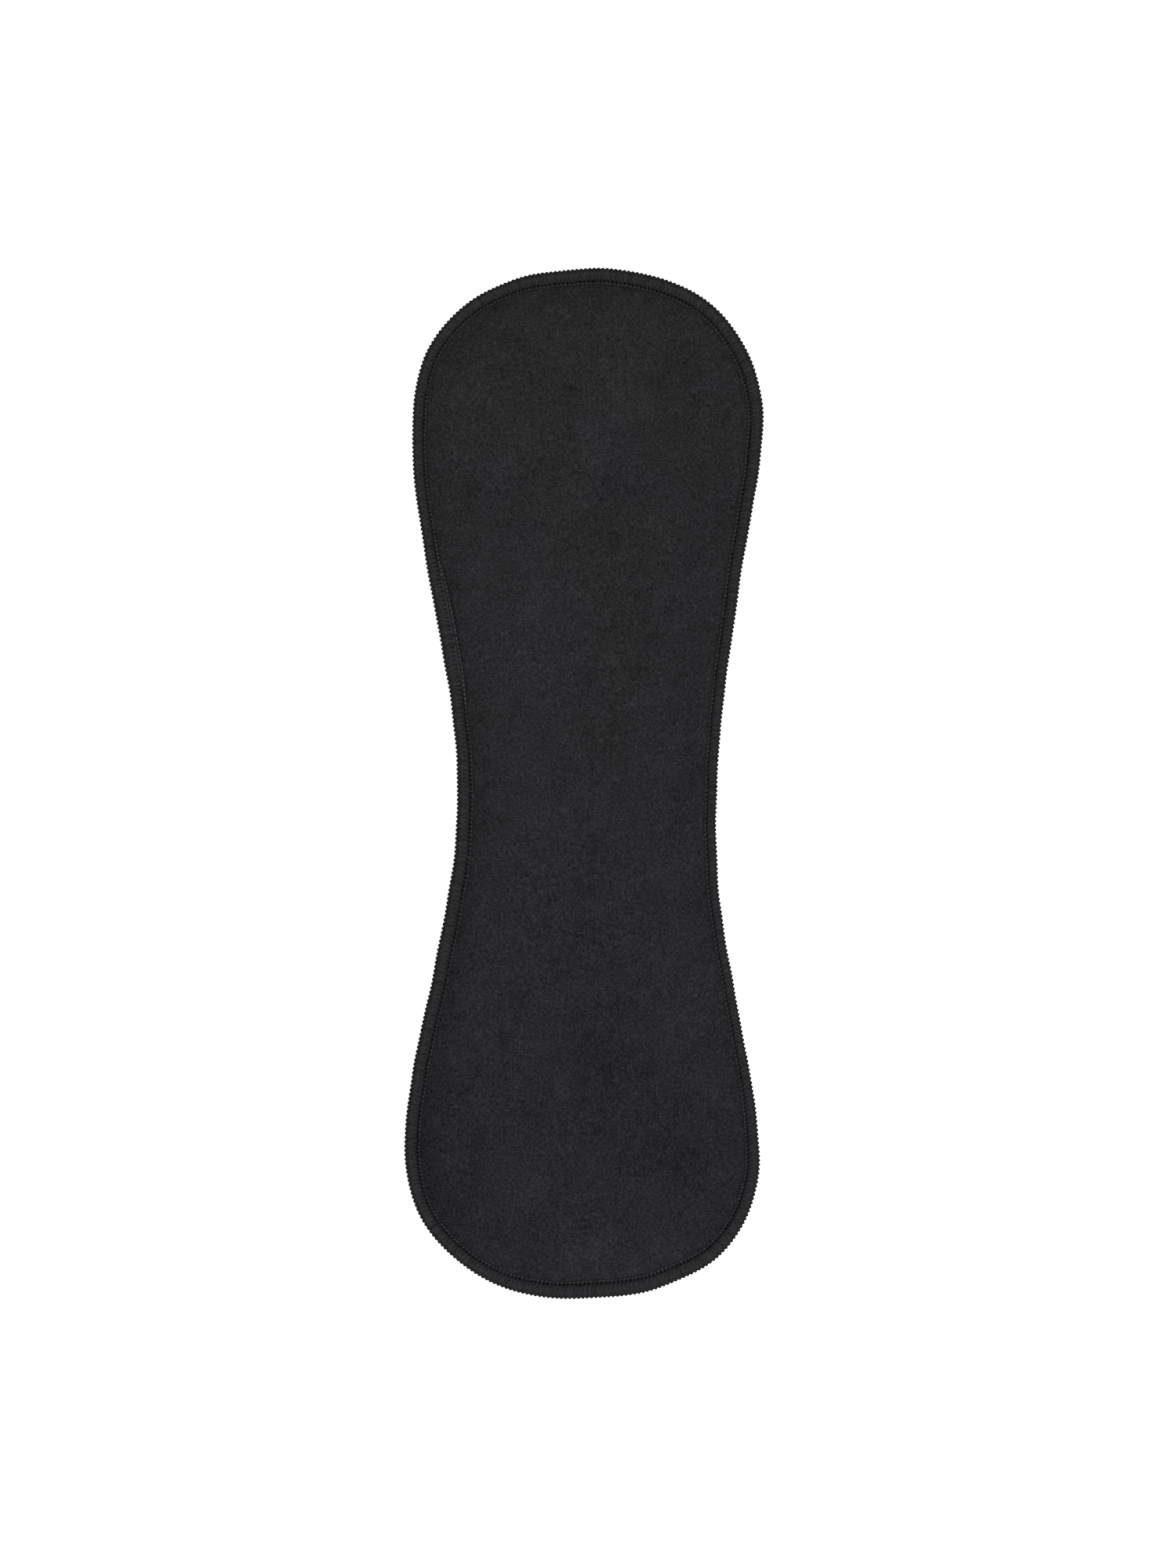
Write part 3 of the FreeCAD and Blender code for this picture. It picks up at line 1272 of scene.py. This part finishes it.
@dataclass(frozen=True)
class SewingThread:
    """A twisted synthetic thread with a faint lustre, darkened by the seam's painted shade."""

    name: str
    slot: Slot
    brightness: float
    turns: float
    lean: float
    roughness: float
    contrast: float = 0.35
    blotch: float = 2.0
    uneven: float = 1.3

    def make(self, groups: Groups) -> bpy.types.Material:
        """Builds the material from the shared groups.

        Args:
            groups: The groups by name.

        Returns:
            The material.
        """
        material, n, shader = start_material(self.name)
        strands = n.add("Group", node_tree=groups["twist"])
        settle(strands, {"Turns": self.turns, "Lean": self.lean})
        strand, fuzz = strands.outputs["Strand"], strands.outputs["Fuzz"]
        seam = n.add("Group", node_tree=groups["seam"])
        parts = (
            (fuzz, self.blotch),
            (strand, self.contrast),
            (seam.outputs["Uneven"], self.uneven),
        )
        tone = 1.0
        for value, weight in parts:
            change = n.maths("MULTIPLY", n.maths("SUBTRACT", value, 0.5), weight)
            tone = n.maths("ADD", tone, change)
        # Painted shade of the seam's edge, groove and needle holes.
        shade = n.maths("MULTIPLY", seam.outputs["Shade"], self.brightness)
        tone = n.maths("MULTIPLY", n.maths("MAXIMUM", tone, 0.2), shade)
        n.tree.links.new(tinted(n, self.slot.colour(), tone), shader.inputs["Base Color"])
        rough = n.ranged(fuzz, 0.3, 0.7, self.roughness - 0.08, self.roughness + 0.08)
        n.tree.links.new(rough, shader.inputs["Roughness"])
        raised = {"Height": strand, "Distance": 0.03 * MM, "Strength": 0.6}
        n.tree.links.new(n.add("Bump", raised).outputs[0], shader.inputs["Normal"])
        lustre = {"Specular IOR Level": 0.08, "Sheen Weight": 0.04, "Sheen Roughness": 0.4}
        settle(shader, lustre)
        return material


# ---------------------------------------------------------------- the insert and its studio


class ClothInsert:
    """The whole insert: its plies and the threads of its seam."""

    def __init__(self) -> None:
        """Reads the outline and lets the face panel's cloth settle."""
        self.edge = SewnEdge()
        self.pad = Pad(self.edge)
        self.pad.relief = ClothRelief(self.edge)
        self.seam = Seam(self.pad)

    def plies(self, floor: bpy.types.Object) -> dict[str, bpy.types.Object]:
        """Builds the five plies from the underside up, by name.

        Args:
            floor: What the lowest ply rests on.

        Returns:
            The pieces.
        """
        panels = ("back_panel", "face_panel")
        below = floor.name
        found = {}
        for level, node in enumerate(self.pad.plies):
            slot, mesher = (Slot.KNIT, FINE) if node in panels else (Slot.CORE, COARSE)
            ply = Ply(node + "_cloth", node, level, slot, below)
            found[ply.name] = ply.build(self.pad, mesher)
            LOG.info("%s: %d faces", ply.name, len(found[ply.name].data.polygons))
            below = ply.name
        return found

    def threads(self) -> dict[str, bpy.types.Object]:
        """Lays the seam's three threads, by name.

        Returns:
            The pieces.
        """
        loop_up = (
            Beat(0.00, 0.80, 1, -0.14),
            Beat(0.12, 0.73, 1, 0.02),
            Beat(0.23, 0.45, 1, 0.20),
            Beat(0.27, 0.20, 1, 0.32),
            Beat(0.34, 0.01, 1, 0.00),
            Beat(0.50, -0.03, 0.5),
            Beat(0.66, 0.01, 1, 0.00),
            Beat(0.73, 0.20, 1, 0.32),
            Beat(0.77, 0.45, 1, 0.20),
            Beat(0.88, 0.73, 1, 0.02),
        )
        loop_down = (
            Beat(0.00, 0.80, 0, 0.10),
            Beat(0.12, 0.73, 0, -0.10),
            Beat(0.25, 0.45, 0, -0.14),
            Beat(0.33, 0.20, 0, -0.14),
            Beat(0.43, 0.01, 0, 0.00),
            Beat(0.58, -0.03, 0.62),
            Beat(0.73, 0.01, 0, 0.00),
            Beat(0.79, 0.20, 0, -0.14),
            Beat(0.82, 0.45, 0, -0.14),
            Beat(0.90, 0.73, 0, -0.10),
        )
        needle = (
            Beat(0.16, 1.00, 1, -0.24),
            Beat(0.28, 1.00, 1, 0.12),
            Beat(0.50, 1.00, 1, 0.26),
            Beat(0.72, 1.00, 1, 0.12),
            Beat(0.84, 1.00, 1, -0.24),
            Beat(0.94, 1.00, 0.5),
            Beat(1.00, 1.03, 0, -0.10),
            Beat(1.05, 1.00, 0.5),
        )
        loose = range(self.seam.total - 22, self.seam.total - 16)
        looper, plain = Slot.LOOPER, Slot.NEEDLE
        rows = (
            ("upper_looper", looper, loop_up, 0.76 * MM, 0.26 * MM),
            ("lower_looper", looper, loop_down, 0.76 * MM, 0.24 * MM),
            ("needle", plain, needle, 0.46 * MM, 0.32 * MM, 0.05, loose),
        )
        found = {}
        for name, *rest in rows:
            thread = ThreadPiece(name + "_stitches", name + "_thread", *rest)
            found[thread.name] = thread.build(self.seam)
            LOG.info("%s: %d faces", thread.name, len(found[thread.name].data.polygons))
        return found

    @staticmethod
    def dress(pieces: dict[str, bpy.types.Object]) -> None:
        """Gives every piece its finish.

        Args:
            pieces: The pieces by name.
        """
        groups = {
            "pile": pile_group(),
            "mottle": mottle_group(),
            "seam": seam_group(),
            "twist": twist_group(),
        }
        knit = BrushedKnit("brushed_knit", Slot.KNIT).make(groups)
        core = BrushedKnit("core_cloth", Slot.CORE, tuft=1.1 * MM, speckle=1.2).make(groups)
        looper = SewingThread("looper_thread", Slot.LOOPER, 0.74, 14000.0, 2.0, 0.8).make(groups)
        # The needle thread is 2.4 times its slot's colour: partly a lighter thread, partly a painted
        # highlight on its bright dashes.
        needle = SewingThread("needle_thread", Slot.NEEDLE, 2.4, 6000.0, 1.0, 0.5).make(groups)
        finish = {
            Slot.KNIT.value: knit,
            Slot.CORE.value: core,
            Slot.LOOPER.value: looper,
            Slot.NEEDLE.value: needle,
        }
        for piece in pieces.values():
            piece.data.materials.clear()
            piece.data.materials.append(finish[piece["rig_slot"]])


@dataclass
class Studio:
    """A white floor under soft light, with the camera straight above the insert."""

    floor_side: float = 24.0
    lens: float = 85.0
    view_height: float = 0.5793
    centre_offset: float = 1.45 * MM
    sky: float = 0.88
    seen_sky: float = 1.2
    key_power: float = 30.0
    fill_power: float = 4.0
    floor_white: Colour = (0.93, 0.93, 0.93)
    floor_glow: float = 0.5

    def floor(self) -> bpy.types.Object:
        """A plain white floor that glows a little, at the height that the insert rests on.

        Returns:
            The floor.
        """
        bm = bmesh.new()
        bmesh.ops.create_grid(bm, x_segments=2, y_segments=2, size=self.floor_side / 2)
        mesh = bpy.data.meshes.new("floor")
        bm.to_mesh(mesh)
        bm.free()
        material, n, shader = start_material("white_floor")
        cloud = n.noise(n.add("TexCoord").outputs["Object"], 3.0, 2.0, 0.5)
        tone = n.ranged(cloud, 0, 1, 0.99, 1.01)
        n.tree.links.new(tinted(n, self.floor_white, tone), shader.inputs["Base Color"])
        settle(shader, {"Roughness": 0.9, "Specular IOR Level": 0.1})
        settle(shader, {"Emission Color": (1, 1, 1, 1), "Emission Strength": self.floor_glow})
        mesh.materials.append(material)
        floor = linked("floor", mesh)
        floor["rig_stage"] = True
        return floor

    def lamp(self, name: str, place: tuple[float, float, float], size: float, power: float) -> None:
        """A square soft light that points at the insert.

        Args:
            name: Its name.
            place: Where it stands.
            size: Its side.
            power: Its power in watts.
        """
        data = bpy.data.lights.new(name, "AREA")
        data.size = size
        data.energy = power
        lamp = linked(name, data)
        lamp.location = place
        lamp.rotation_euler = Vector(place).to_track_quat("Z", "Y").to_euler()

    def light(self) -> None:
        """White surroundings, seen brighter than they light, with a large key light and a weak fill."""
        world = bpy.data.worlds.new("studio")
        world.use_nodes = True
        background = world.node_tree.nodes["Background"]
        settle(background, {"Color": (1, 1, 1, 1)})
        n = Nodes(world.node_tree)
        seen = n.add("LightPath").outputs["Is Camera Ray"]
        strength = n.ranged(seen, 0, 1, self.sky, self.seen_sky)
        n.tree.links.new(strength, background.inputs["Strength"])
        bpy.context.scene.world = world
        self.lamp("key", (0.9, -1.35, 1.1), 0.8, self.key_power)
        self.lamp("fill", (-0.8, 1.0, 1.5), 1.2, self.fill_power)
        bpy.context.scene.view_settings.view_transform = "Standard"

    def camera(self) -> None:
        """A camera that looks straight down, with the insert's length up the frame."""
        data = bpy.data.cameras.new("camera")
        data.lens = self.lens
        data.clip_end = 20.0
        camera = linked("camera", data)
        low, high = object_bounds()
        distance = self.view_height * data.lens / data.sensor_width
        centre = (low + high) / 2
        camera.location = (centre.x + self.centre_offset, centre.y, centre.z + distance)
        bpy.context.scene.camera = camera


def main() -> None:
    """Builds the insert around the frame and reports each piece."""
    logging.basicConfig(level=logging.INFO, format="%(name)s: %(message)s")
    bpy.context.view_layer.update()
    studio = Studio()
    floor = studio.floor()
    studio.light()
    studio.camera()
    insert = ClothInsert()
    pieces = insert.plies(floor)
    pieces |= insert.threads()
    insert.dress(pieces)


if __name__ == "__main__":
    main()
